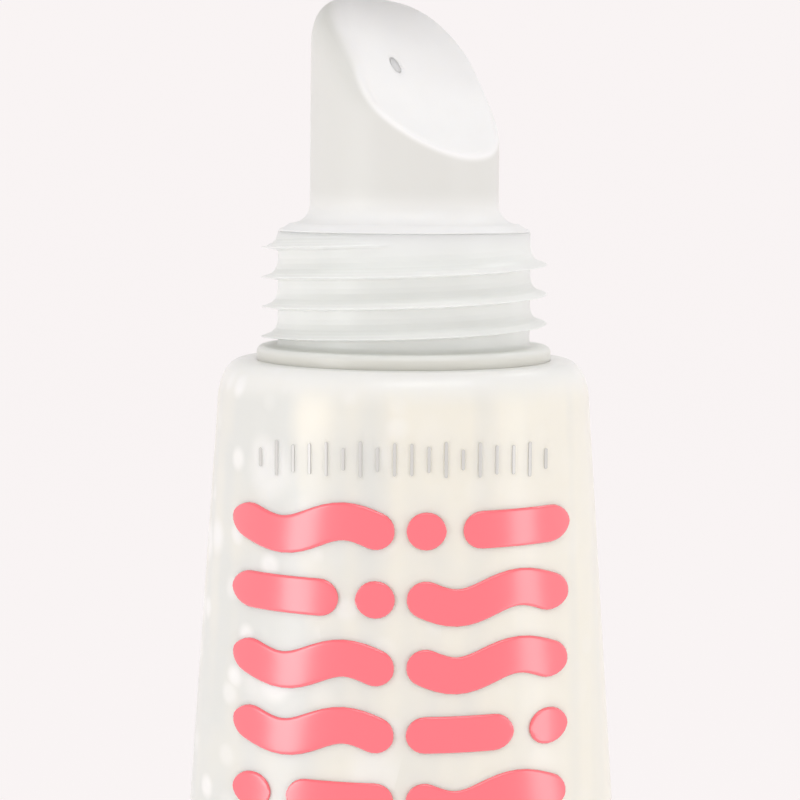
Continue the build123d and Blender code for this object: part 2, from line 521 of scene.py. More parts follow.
def skin(
    name: str, rows: np.ndarray, wrap_rows: bool = True, sharp_deg: float = 40.0
) -> bpy.types.Object:
    """Build a mesh from rings of points, each ring joined to the next.

    Args:
        name: the object's name.
        rows: points in millimetres, indexed by ring, then round the ring.
        wrap_rows: whether the last ring joins the first.
        sharp_deg: edges that turn by more than this are shaded sharp.

    Returns:
        The new object, in metres.
    """
    count, around, _ = rows.shape
    last = count if wrap_rows else count - 1
    ring = np.arange(around)
    after = (ring + 1) % around
    faces = []
    for i in range(last):
        a, b = i * around, ((i + 1) % count) * around
        faces.append(np.stack([a + ring, a + after, b + after, b + ring], axis=1))
    mesh = bpy.data.meshes.new(name)
    mesh.from_pydata((rows.reshape(-1, 3) * MM).tolist(), [], np.concatenate(faces).tolist())
    piece = bpy.data.objects.new(name, mesh)
    bpy.context.scene.collection.objects.link(piece)
    clean(piece, sharp_deg)
    return piece


def clean(piece: bpy.types.Object, sharp_deg: float) -> None:
    """Join doubled points, point the faces outwards and set smooth shading.

    Args:
        piece: the object to clean.
        sharp_deg: edges that turn by more than this are shaded sharp.
    """
    work = bmesh.new()
    work.from_mesh(piece.data)
    bmesh.ops.remove_doubles(work, verts=work.verts, dist=1e-7)
    bmesh.ops.dissolve_degenerate(work, edges=work.edges, dist=1e-8)
    bmesh.ops.recalc_face_normals(work, faces=work.faces)
    work.to_mesh(piece.data)
    work.free()
    piece.data.shade_smooth()
    piece.data.set_sharp_from_angle(angle=math.radians(sharp_deg))


def turned(profile: list[tuple[float, float]], around: int = 160) -> np.ndarray:
    """Rings for a shape turned about the tube's axis.

    Args:
        profile: (radius, height) points in millimetres.
        around: points in each ring.

    Returns:
        The rings, ready for skin.
    """
    turn = np.linspace(0, FULL_TURN, around, endpoint=False)
    radii = np.array([r for r, _ in profile])[:, None]
    heights = np.array([z for _, z in profile])[:, None] * np.ones_like(turn)
    return np.stack([radii * np.cos(turn), radii * np.sin(turn), heights], axis=2)


def arc(
    centre: tuple[float, float],
    reach: tuple[float, float],
    start_deg: float,
    end_deg: float,
    steps: int = 8,
) -> list[tuple[float, float]]:
    """Points on an arc in the (radius, height) plane.

    Args:
        centre: the arc's centre.
        reach: its half sizes across and up.
        start_deg: where it starts, anticlockwise from outwards.
        end_deg: where it ends.
        steps: how many spans it has.

    Returns:
        A list of (radius, height) points.
    """
    turns = np.radians(np.linspace(start_deg, end_deg, steps + 1))
    return [(centre[0] + reach[0] * math.cos(t), centre[1] + reach[1] * math.sin(t)) for t in turns]


def store_gel_and_painted_light(piece: bpy.types.Object, share: Callable[[np.ndarray], np.ndarray]) -> None:
    """Store at each point how much the gel-side colour shows: the gel behind the wall, and also painted
    shade and highlight.

    Args:
        piece: the object.
        share: gives 0 to 1 for an array of points in millimetres.
    """
    points = np.empty(len(piece.data.vertices) * 3)
    piece.data.vertices.foreach_get("co", points)
    layer = piece.data.attributes.new(GEL_AND_LIGHT_ATTRIBUTE, "FLOAT", "POINT")
    layer.data.foreach_set("value", np.clip(share(points.reshape(-1, 3) / MM), 0, 1))


def folded(ring: np.ndarray, drop: float = 0.0) -> np.ndarray:
    """The line that a ring closes to where the tube's front and back meet.

    Args:
        ring: the ring.
        drop: how far below it the line lies, in millimetres.

    Returns:
        The line's points, as many as the ring's.
    """
    line = ring.copy()
    line[:, 1] *= 0.0
    line[:, 2] -= drop
    return line


def eased(values: np.ndarray, reach: int, **edges: str) -> np.ndarray:
    """Round off the corners in a row of evenly spaced values.

    Args:
        values: the values.
        reach: how many neighbours on each side are averaged in.
        edges: how the row goes on past its ends, as numpy's pad names it.

    Returns:
        The eased values, as many as before.
    """
    kernel = np.hanning(2 * reach + 1)
    return np.convolve(np.pad(values, reach, **edges), kernel / kernel.sum(), mode="valid")


def smooth_step(values: np.ndarray, low: float, high: float) -> np.ndarray:
    """Ease values from 0 at low to 1 at high.

    Args:
        values: the values.
        low: where the ease starts.
        high: where it ends.

    Returns:
        The eased shares.
    """
    share = np.clip((values - low) / (high - low), 0, 1)
    return share * share * (3 - 2 * share)


def settle(
    piece: bpy.types.Object, body: Body, slot: Slot, finish: bpy.types.Material, *nodes: str
) -> None:
    """Dress a piece, put it on its body and let it stand for CAD nodes.

    Args:
        piece: the object.
        body: the body it rides on.
        slot: not used.
        finish: its material.
        nodes: the CAD nodes that it replaces.
    """
    piece.data.materials.clear()
    piece.data.materials.append(finish)
    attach(piece, body.value)
    if nodes:
        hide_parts(*nodes)
    LOG.info("%s: %d faces on %s", piece.name, len(piece.data.polygons), body.value)


# ---------------------------------------------------------------- the sleeve and its print

# Half of a stroke's section, from its edge to its middle: shares of its half width and of its height.
INK_EDGE = (
    *((-1.0, -0.05), (-1.0, 0.1), (-0.94, 0.78), (-0.89, 0.98)),
    *((-0.8, 1.04), (-0.4, 1.05), (0.0, 1.06)),
)

# Where the rings of a stroke's round end lie, in degrees round from its straight part.
ROUND_END_DEG = (88, 75, 60, 45, 30, 15)


@dataclass
class Sleeve:
    """The soft tube, its crimp, and the marks printed on its front. Sizes in millimetres."""

    wall: float = 0.5
    crimp_half_thick: float = 0.5
    crimp_height: float = 5.0
    crimp_margin: float = 0.5
    crimp_rings: int = 46
    sole_edge: float = 0.06
    bore_foot: float = 0.4
    rolled_edge: float = 2.2
    shoulder_flat_radius: float = 8.3
    flange_gap_radius: float = 7.51
    fullness_in: float = 1.2
    fullness_out: float = 0.72
    around: int = 448
    ridges: int = 5
    ridge_height: float = 0.09
    top: float = field(init=False)
    radius: float = field(init=False)
    half_width: float = field(init=False)

    def __post_init__(self) -> None:
        """Read the sleeve's top, radius and crimp width from the frame."""
        low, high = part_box("tube_sleeve")
        self.top = high.z / MM
        self.radius = high.y / MM
        self.half_width = high.x / MM

    @property
    def taper_top(self) -> float:
        """The height where the round end starts to taper."""
        return self.top - self.rolled_edge

    def half_sizes(self, z: float) -> tuple[float, float, float]:
        """Half width, half thickness and corner power of the section at a height.

        Args:
            z: the height in millimetres.

        Returns:
            Half width, half thickness, and the curve's power: 2 for an ellipse, more for a flat bar.
        """
        t = min(max((self.taper_top - z) / (self.taper_top - self.crimp_height), 0.0), 1.0)
        wide = self.radius + (self.half_width - self.radius) * t
        full = (1 - t**self.fullness_in) ** self.fullness_out
        thick = self.crimp_half_thick + (self.radius - self.crimp_half_thick) * full
        return wide, thick, 2.0 + 8.0 * t**14

    def ring(self, z: float, inset: float = 0.0, ridge: float = 0.0, scale: float = 1.0) -> np.ndarray:
        """One ring of points round the sleeve.

        Args:
            z: the height in millimetres.
            inset: how far inside the outer skin.
            ridge: how much the crimp's jaw pattern draws the ring in.
            scale: a factor on the round shoulder's radius.

        Returns:
            The ring's points.
        """
        wide, thick, power = self.half_sizes(z)
        turn = np.linspace(0, FULL_TURN, self.around, endpoint=False)
        across = np.cos(turn)
        bulge = (1 - np.abs(across) ** power) ** (1 / power) * np.sign(np.sin(turn))
        x = (wide - inset) * across * scale
        y = (thick - inset - ridge) * bulge * scale
        return np.stack([x, y, np.full_like(x, z)], axis=1)

    def heights(self) -> np.ndarray:
        """Ring heights up the taper, closer together where the sleeve opens from the crimp."""
        rise = np.linspace(0, 1, 90) ** 1.6
        return self.crimp_height + (self.taper_top - self.crimp_height) * rise

    def round_ring(self, radius: float, z: float) -> np.ndarray:
        """One round ring at the shoulder.

        Args:
            radius: its radius.
            z: its height.

        Returns:
            The ring's points.
        """
        ring = self.ring(self.taper_top, scale=radius / self.radius)
        ring[:, 2] = z
        return ring

    def crimp(self) -> list[np.ndarray]:
        """Rings up the crimp, pressed in by the jaws' ridges and rounded at the bottom edge."""
        low, high = self.crimp_margin, self.crimp_height - self.crimp_margin
        rings = []
        for z in np.linspace(0, self.crimp_height, self.crimp_rings):
            wave = 0.5 - 0.5 * math.cos(FULL_TURN * self.ridges * (z - low) / (high - low))
            rings.append(self.ring(z, ridge=self.ridge_height * wave if low < z < high else 0.0))
        rings[0] = self.ring(0, self.sole_edge)
        rings[1][:, 2] = self.sole_edge + 0.02
        return [self.ring(0, 2 * self.sole_edge), *rings]

    def build_skin(self) -> bpy.types.Object:
        """Build the sleeve: crimp, tapering body, rolled shoulder and the inner wall."""
        rings = self.crimp()
        rings += [self.ring(z) for z in self.heights()[1:]]
        flat, roll = self.shoulder_flat_radius, self.radius - self.shoulder_flat_radius
        shoulder = arc((flat, self.taper_top), (roll, self.rolled_edge), 0, 90, 14)[1:]
        shoulder += [(self.flange_gap_radius, self.top), (self.flange_gap_radius, self.top - self.wall)]
        shoulder += arc((flat, self.taper_top), (roll - self.wall, self.rolled_edge - self.wall), 90, 0, 8)
        rings += [self.round_ring(r, z) for r, z in shoulder]
        rings += [self.ring(z, self.wall) for z in self.heights()[::-1][1:-6]]
        lowest = self.ring(self.heights()[6], self.wall)
        rings = [folded(rings[0]), *rings, folded(lowest, self.bore_foot)]
        sleeve = skin("sleeve_skin", np.stack(rings), wrap_rows=False)
        store_gel_and_painted_light(sleeve, self.gel_and_light_share)
        return sleeve

    def gel_and_light_share(self, points: np.ndarray) -> np.ndarray:
        """How much gel shows through: all of it between the crimp and the head's shoulder; elsewhere the
        film takes its whiter colour, which over the rolled shoulder is also a painted highlight.

        Args:
            points: points in millimetres.

        Returns:
            Shares from 0 to 1.
        """
        z = points[:, 2]
        over_crimp = smooth_step(z, self.crimp_height - 0.5, self.crimp_height + 2.5)
        return over_crimp * (1 - smooth_step(z, self.top - 1.8, self.top - 0.2))

    def front(self, x: float, z: float, lift: float) -> tuple[float, float, float]:
        """A point over the printed front.

        Args:
            x: distance across from the axis.
            z: the height.
            lift: how far outside the skin.

        Returns:
            The point in millimetres.
        """
        wide, thick, power = self.half_sizes(z)
        share = max(-0.98, min(0.98, x / wide))
        depth = (1 - abs(share) ** power) ** (1 / power)
        y = -thick * depth
        lean = math.copysign(abs(share) ** (power - 1) / wide, x)
        normal = np.array([lean, -(depth ** (power - 1)) / thick, 0.0])
        normal /= np.linalg.norm(normal)
        return tuple(np.array([x, y, z]) + normal * lift)

    def stroke(self, spine: list[tuple[float, float]], half: float, height: float) -> tuple[list, list]:
        """A raised, round-ended stroke of ink laid along a line on the front.

        Args:
            spine: (x, z) points along the stroke's middle, from end to end of the straight part.
            half: half the stroke's width.
            height: how far the ink stands up.

        Returns:
            The stroke's points and faces.
        """
        line = [np.array(p, float) for p in spine]
        first, last = line[0] - line[1], line[-1] - line[-2]
        first, last = first / np.linalg.norm(first), last / np.linalg.norm(last)
        tips = [half * math.sin(math.radians(a)) for a in ROUND_END_DEG]
        widths = [half * math.cos(math.radians(a)) for a in ROUND_END_DEG]
        path = [line[0] + first * t for t in tips] + line + [line[-1] + last * t for t in tips[::-1]]
        spread = widths + [half] * len(line) + widths[::-1]
        profile = INK_EDGE + tuple((-a, b) for a, b in INK_EDGE[-2::-1])
        points, faces = [], []
        for i, (centre, wide) in enumerate(zip(path, spread)):
            before, after = path[max(i - 1, 0)], path[min(i + 1, len(path) - 1)]
            along = (after - before) / np.linalg.norm(after - before)
            side = np.array([-along[1], along[0]])
            for offset, lift in profile:
                spot = centre + side * offset * wide
                points.append(self.front(spot[0], spot[1], lift * height))
        size = len(profile)
        for i in range(len(path) - 1):
            for j in range(size - 1):
                a = i * size + j
                faces.append((a, a + 1, a + size + 1, a + size))
        faces.append(tuple(range(size)))
        end = (len(path) - 1) * size
        faces.append(tuple(range(end + size - 1, end - 1, -1)))
        for i in range(len(path) - 1):
            faces.append((i * size, (i + 1) * size, (i + 1) * size + size - 1, i * size + size - 1))
        return points, faces

    def ink(self, name: str, strokes: list, half: float, height: float) -> bpy.types.Object:
        """Join strokes into one printed piece.

        Args:
            name: the piece's name.
            strokes: a spine for each stroke.
            half: half the strokes' width.
            height: how far the ink stands up.

        Returns:
            The new object.
        """
        points, faces = [], []
        for spine in strokes:
            p, f = self.stroke(spine, half, height)
            start = len(points)
            points += p
            faces += [tuple(start + i for i in face) for face in f]
        mesh = bpy.data.meshes.new(name)
        mesh.from_pydata([tuple(c * MM for c in p) for p in points], [], faces)
        piece = bpy.data.objects.new(name, mesh)
        bpy.context.scene.collection.objects.link(piece)
        clean(piece, 50)
        return piece


@dataclass
class Print:
    """Plain decoration: two columns of pink waves, bars and dots, and a row of fine ticks."""

    sleeve: Sleeve
    stroke_half: float = 0.92
    ink_height: float = 0.12
    column_half: float = 3.95
    column_centres: tuple[float, float] = (-4.33, 4.15)
    first_row: float = 7.5
    row_step: float = 3.35
    last_height: float = 14.0
    bar_share: float = 0.66
    wave_rise: float = 0.42
    tick_half: float = 0.075
    tick_height: float = 0.04
    tick_count: int = 18
    tick_half_width: float = 6.9
    tick_drop: float = 4.3
    tick_arch: float = 0.25
    tick_reach: tuple[float, float] = (0.38, 0.42)
    tick_beat: float = 1.3

    def wave(self, centre: float, z: float, half: float, rise: float) -> list[tuple[float, float]]:
        """A gentle wave across a column.

        Args:
            centre: the wave's middle across the tube.
            z: its height.
            half: half its length, tips included.
            rise: how far it rises and falls.

        Returns:
            The spine of the stroke.
        """
        reach = half - self.stroke_half
        steps = np.linspace(-1, 1, 17)
        return [(centre + reach * s, z + rise * math.sin(math.pi * s)) for s in steps]

    def rows(self) -> list[list[tuple[float, float]]]:
        """Spines of all the pink strokes."""
        spines = []
        top = self.sleeve.top - self.first_row
        count = int((top - self.last_height) / self.row_step)
        for column, centre in enumerate(self.column_centres):
            for row in range(count):
                z = top - row * self.row_step
                if (row + column) % 3 == 1:
                    side = 1 if row % 2 else -1
                    short = self.column_half * self.bar_share
                    long_mid = centre - side * (self.column_half - short)
                    dot_mid = centre + side * (self.column_half - self.stroke_half)
                    spines.append(self.wave(long_mid, z, short, 0.0))
                    spines.append([(dot_mid - 0.02, z), (dot_mid + 0.02, z)])
                else:
                    spines.append(self.wave(centre, z, self.column_half, self.wave_rise))
        return spines

    def ticks(self) -> list[list[tuple[float, float]]]:
        """Spines of the fine ticks, whose heights rise and fall along a shallow arch."""
        spines = []
        for i in range(self.tick_count):
            share = 2 * i / (self.tick_count - 1) - 1
            x = self.tick_half_width * share
            z = self.sleeve.top - self.tick_drop + self.tick_arch * (1 - share**2)
            half = self.tick_reach[0] + self.tick_reach[1] * abs(math.sin(i * self.tick_beat))
            spines.append([(x, z - half), (x, z), (x, z + half)])
        return spines

    def build(self) -> tuple[bpy.types.Object, bpy.types.Object]:
        """Build the pink strokes and the fine ticks."""
        bold = self.sleeve.ink("front_print", self.rows(), self.stroke_half, self.ink_height)
        fine = self.sleeve.ink("fine_print", self.ticks(), self.tick_half, self.tick_height)
        return bold, fine


# ---------------------------------------------------------------- head and tip


@dataclass
class ThreadedHead:
    """The moulded shoulder, flange and neck with its right-hand buttress thread. Sizes in millimetres."""

    pitch: float = 1.5
    crest_radius: float = 7.3
    neck_radius: float = 6.42
    flange_radius: float = 7.5
    flange_height: float = 0.7
    flange_edge: float = 0.3
    flange_lap: float = 0.54
    rim_round: float = 0.1
    foot_fillet: float = 0.25
    neck_height: float = 6.5
    bore_radius: float = 5.2
    skirt_radius: float = 8.94
    skirt_depth: float = 3.5
    skirt_wall: float = 0.8
    skirt_flat_radius: float = 8.3
    skirt_roll_drop: float = 2.2
    funnel: tuple[float, float] = (0.9, 2.1)
    turns: float = 3.5
    start_turn: float = 0.25
    start_height: float = 0.72
    fade_turn: float = 0.14
    gel_and_shade_height: float = 1.1
    around: int = 288
    row_step: float = 0.025
    top: float = field(init=False)

    def __post_init__(self) -> None:
        """Read the shoulder's height from the frame."""
        self.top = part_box("tube_sleeve")[1].z / MM

    def fin(self, rise: np.ndarray) -> np.ndarray:
        """The thread's height off the neck.

        Args:
            rise: height over the crest's lower edge, in millimetres.

        Returns:
            A share of the full thread height, from 0 to 1.
        """
        knots = (-0.12, -0.05, 0.0, 0.03, 0.07, 0.14, 0.26, 0.44, 0.7, 0.95)
        shares = (0.0, 0.4, 0.95, 1.0, 0.93, 0.66, 0.36, 0.15, 0.04, 0.0)
        return np.interp(rise, knots, shares, left=0.0, right=0.0)

    def thread(self, turn: np.ndarray, z: float) -> np.ndarray:
        """Neck radius all round at a height.

        Args:
            turn: angles round the neck.
            z: height over the shoulder.

        Returns:
            The radius at each angle.
        """
        swell = np.zeros_like(turn)
        for lap in range(-1, int(self.turns) + 2):
            along = turn / FULL_TURN + lap - self.start_turn
            crest = self.start_height + along * self.pitch
            ease_in = np.clip(along / self.fade_turn, 0, 1)
            ease_out = np.clip((self.turns - along) / self.fade_turn, 0, 1)
            ease = np.minimum(ease_in, ease_out)
            ease = ease * ease * (3 - 2 * ease)
            swell = np.maximum(swell, self.fin(z - crest) * ease)
        return self.neck_radius + (self.crest_radius - self.neck_radius) * swell

    def build(self) -> bpy.types.Object:
        """Build the head as one closed skin."""
        turn = np.linspace(0, FULL_TURN, self.around, endpoint=False)
        under = self.top - self.flange_lap
        foot = self.top - self.skirt_depth
        inner = self.skirt_radius - self.skirt_wall
        roll_foot, flat = self.top - self.skirt_roll_drop, self.skirt_flat_radius
        profile = [(inner, foot), (self.skirt_radius, foot), (self.skirt_radius, roll_foot)]
        profile += arc((flat, roll_foot), (self.skirt_radius - flat, under - roll_foot), 0, 90, 8)[1:]
        flange_top = self.top + self.flange_height
        soft = self.flange_edge
        profile += [(self.flange_radius, under), (self.flange_radius, flange_top - soft)]
        profile += arc((self.flange_radius - soft, flange_top - soft), (soft, soft), 0, 90, 6)
        rows = [turned(profile, self.around)]
        rim = self.rim_round
        for z in np.arange(self.flange_height, self.neck_height - rim, self.row_step):
            up = min((z - self.flange_height) / self.foot_fillet, 1.0)
            fillet = self.foot_fillet * (1 - math.sqrt(1 - (1 - up) ** 2))
            r = np.maximum(self.thread(turn, z), self.neck_radius + fillet)
            ring = np.stack([r * np.cos(turn), r * np.sin(turn), np.full_like(r, self.top + z)], axis=1)
            rows.append(ring[None])
        neck_top = self.top + self.neck_height
        inside = arc((self.neck_radius - rim, neck_top - rim), (rim, rim), 0, 90, 4)
        inside += [(self.bore_radius + rim, neck_top), (self.bore_radius, neck_top - rim)]
        inside += [(self.bore_radius, foot + self.funnel[1]), (inner, foot + self.funnel[0])]
        rows.append(turned(inside, self.around))
        head = skin("threaded_head", np.concatenate(rows), wrap_rows=True, sharp_deg=50)
        # painted shade, partly gel behind the wall: the neck darkens towards its foot and the flange, down
        # in the crease at the shoulder
        fade_top = self.top + self.gel_and_shade_height
        store_gel_and_painted_light(head, lambda points: 1 - smooth_step(points[:, 2], self.top, fade_top))
        return head


# The slanted face from its low end to its high end: shares of the barrel's radius, and heights in
# millimetres over the shoulder. It is hollow low down, steepest in the middle and rounded at the top.
FACE_SHARES = (-1.2, -1.0, -0.8, -0.6, -0.45, -0.3, -0.15, 0.0, 0.15, 0.3, 0.45, 0.6, 0.75, 0.88, 1.0, 1.1)
FACE_RISES = (
    *(9.5, 10.25, 11.1, 11.95, 12.65, 13.42, 14.4, 15.42),
    *(16.28, 17.02, 17.68, 18.18, 18.5, 18.62, 18.65, 18.65),
)
# How round the edge between barrel and face is, in millimetres, at degrees round the barrel.
EDGE_DEGREES = (0, 45, 90, 135, 175, 228, 243, 256, 330, 360)
EDGE_ROUNDS = (0.45, 0.35, 0.55, 1.15, 1.95, 1.95, 0.9, 0.16, 0.16, 0.45)


@dataclass
class SlantedTip:
    """The hollow applicator tip: plug skirt, seat flange, flared barrel and a slanted, rounded face."""

    seat_radius: float = 5.9
    seat_foot: float = 6.5
    seat_foot_radius: float = 6.4
    seat_thick: float = 0.38
    flare: float = 1.0
    barrel_top_radius: float = 4.75
    plug_radius: float = 5.16
    plug_inner: float = 4.3
    plug_depth: float = 4.0
    wall: float = 0.95
    slant_deg: float = 135.0
    hollow_rise: float = 8.0
    orifice_radius: float = 0.3
    orifice: tuple[float, float] = (-0.5, -1.1)
    soft_rise: float = 1.3
    barrel_depth: float = 0.45
    throat_drop: float = 1.33
    around: int = 256
    shoulder: float = field(init=False)
    high: float = field(init=False)

    def __post_init__(self) -> None:
        """Read the shoulder's and the tip's heights from the frame."""
        self.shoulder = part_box("tube_sleeve")[1].z / MM
        self.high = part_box("applicator_tip")[1].z / MM

    def face_height(self, x: np.ndarray, y: np.ndarray) -> np.ndarray:
        """Height of the slanted face.

        Args:
            x: distances across.
            y: distances back.

        Returns:
            Heights over the frame's zero, in millimetres.
        """
        turn = math.radians(self.slant_deg)
        along = (x * math.cos(turn) + y * math.sin(turn)) / (self.seat_radius - self.flare)
        fine = np.linspace(FACE_SHARES[0], FACE_SHARES[-1], 231)
        smooth = eased(np.interp(fine, FACE_SHARES, FACE_RISES), 14, mode="reflect", reflect_type="odd")
        return self.shoulder + np.interp(along, fine, smooth)

    def rounding(self) -> np.ndarray:
        """Radius of the edge between barrel and face: soft round the high cheek, crisp round the front."""
        degrees = np.arange(0, 360)
        rounds = eased(np.interp(degrees, EDGE_DEGREES, EDGE_ROUNDS), 9, mode="wrap")
        return np.interp(np.linspace(0, 360, self.around, endpoint=False), degrees, rounds, period=360)

    def spokes(self, share: float, radius: float | np.ndarray) -> tuple[np.ndarray, np.ndarray]:
        """Points on a ring that blends from round the orifice to round the barrel.

        Args:
            share: 0 at the orifice, 1 at the barrel.
            radius: the ring's radius at that share.

        Returns:
            The x and y of each point.
        """
        turn = np.linspace(0, FULL_TURN, self.around, endpoint=False)
        x = self.orifice[0] * (1 - share) + radius * np.cos(turn)
        y = self.orifice[1] * (1 - share) + radius * np.sin(turn)
        return x, y

    def foot(self) -> list[tuple[float, float]]:
        """Points from the hollow down inside the plug, up outside it, over the seat and up the flare.

        Returns:
            (radius, height) points in millimetres, up to where the barrel starts.
        """
        base_z = self.shoulder + self.seat_foot
        plug_end, seat_top = base_z - self.plug_depth, base_z + self.seat_thick
        hollow, flare_foot = self.barrel_top_radius - self.wall, self.seat_radius - 0.1
        points = [
            (hollow - 0.1, self.shoulder + self.hollow_rise),
            (hollow, base_z - 1.0),
            (self.plug_inner, base_z - 2.6),
            (self.plug_inner, plug_end),
            (self.plug_radius - 0.2, plug_end),
            (self.plug_radius, plug_end + 0.4),
            (self.plug_radius, base_z),
            (self.seat_foot_radius - 0.02, base_z),
            (self.seat_foot_radius, base_z + 0.03),
            (self.seat_foot_radius - 0.04, base_z + 0.09),
            (self.seat_radius + 0.06, seat_top - 0.1),
            (self.seat_radius - 0.02, seat_top - 0.03),
            (flare_foot, seat_top),
        ]
        return points + arc((flare_foot, seat_top + self.flare), (self.flare, self.flare), 270, 180, 12)[1:]

    def build(self) -> bpy.types.Object:
        """Build the tip as one closed skin, outside, orifice and hollow.

        Rings crowd together towards the lip, so that the shading turns only at the lip itself.
        """
        foot = self.foot()
        rows = list(turned(foot, self.around))
        flare_r, flare_top = foot[-1]
        barrel = self.barrel_top_radius
        rounding = self.rounding()
        turn = np.linspace(0, FULL_TURN, self.around, endpoint=False)
        edge_x, edge_y = barrel * np.cos(turn), barrel * np.sin(turn)
        edge_z = self.face_height(edge_x, edge_y)
        ring_r = barrel - rounding
        inner_x, inner_y = ring_r * np.cos(turn), ring_r * np.sin(turn)
        wall_top = edge_z - rounding * self.soft_rise
        for step in 1 - (1 - np.linspace(0, 1, 26)[1:]) ** 2.5:
            z = flare_top + (wall_top - flare_top) * step
            r = flare_r + (barrel - flare_r) * (z - flare_top) / (self.high - flare_top)
            rows.append(np.stack([r * np.cos(turn), r * np.sin(turn), z], axis=1))
        start = rows[-1]
        corner = np.stack([start[:, 0], start[:, 1], edge_z], axis=1)
        end = np.stack([inner_x, inner_y, self.face_height(inner_x, inner_y)], axis=1)
        for s in np.linspace(0, 1, 15)[1:]:
            rows.append(start * (1 - s) ** 2 + corner * 2 * s * (1 - s) + end * s**2)
        for s in 1 - np.linspace(0, 1, 30)[1:] ** 1.8:
            x, y = self.spokes(s, self.orifice_radius + (ring_r - self.orifice_radius) * s)
            rows.append(np.stack([x, y, self.face_height(x, y)], axis=1))
        mouth_x, mouth_y = self.spokes(0, self.orifice_radius - 0.02)
        mouth_z = self.face_height(mouth_x, mouth_y)
        roof_z = self.face_height(edge_x * 0.8, edge_y * 0.8) - self.throat_drop
        hollow_share = (barrel - self.wall) / barrel
        rows.append(np.stack([mouth_x, mouth_y, mouth_z - 0.04], axis=1))
        rows.append(np.stack([mouth_x, mouth_y, mouth_z - self.throat_drop], axis=1))
        rows.append(np.stack([edge_x * hollow_share, edge_y * hollow_share, roof_z], axis=1))
        tip = skin("slanted_tip", np.stack(rows), wrap_rows=True, sharp_deg=60)
        # painted shade, partly gel behind the wall: the barrel darkens below the face's lip
        store_gel_and_painted_light(tip, self.gel_and_light_share)
        return tip

    def gel_and_light_share(self, points: np.ndarray) -> np.ndarray:
        """How much gel shows through: none in the thick face and seat, more down the thin barrel wall; the
        darker barrel is also painted shade under the lit face.

        Args:
            points: points in millimetres.

        Returns:
            Shares from 0 to 1.
        """
        depth = self.face_height(points[:, 0], points[:, 1]) - points[:, 2]
        over_seat = points[:, 2] - self.shoulder - self.seat_foot
        return smooth_step(depth, 0.05, self.barrel_depth) * smooth_step(over_seat, 0.2, 2.2)


@dataclass
class GelFilling:
    """The gloss: it fills the sleeve, the neck and the tip, up to the orifice."""

    sleeve: Sleeve
    tip: SlantedTip
    gap: float = 0.55
    body_drop: float = 3.6
    neck_radius: float = 5.1
    plug_radius: float = 4.22
    barrel_radius: float = 3.55
    bead_radius: float = 0.288
    bead_reach: float = 0.006

    def build(self) -> bpy.types.Object:
        """Build the gel as one closed skin."""
        sleeve = self.sleeve
        body_top = sleeve.top - self.body_drop
        rings = [sleeve.ring(z, self.gap) for z in sleeve.heights()[8:] if z < body_top]
        rings.insert(0, folded(rings[0], 0.3))
        # Radii and heights over the shoulder, up the head's funnel, the neck, the plug and the tip's hollow.
        column = ((8.0, -self.body_drop), (8.0, -2.7), (self.neck_radius, -1.5), (self.neck_radius, 2.4))
        column += ((self.plug_radius, 2.4), (self.plug_radius, 3.8))
        column += ((self.barrel_radius, 5.4), (self.barrel_radius, 9.4))
        rings += list(turned([(r, sleeve.top + rise) for r, rise in column], sleeve.around))
        mouth = self.tip.orifice
        turn = np.linspace(0, FULL_TURN, sleeve.around, endpoint=False)
        reach = self.bead_reach
        beads = [(s, reach * (s * s - 1)) for s in (0.97, 0.8, 0.6, 0.3, 0)]
        for share, drop in [(0.93, 1.6), (0.93, 0.06), (1.0, 0.015), *beads]:
            x = mouth[0] + self.bead_radius * share * np.cos(turn)
            y = mouth[1] + self.bead_radius * share * np.sin(turn)
            rings.append(np.stack([x, y, self.tip.face_height(x, y) - drop], axis=1))
        return skin("gloss_gel", np.stack(rings), wrap_rows=False)


# ---------------------------------------------------------------- the cap


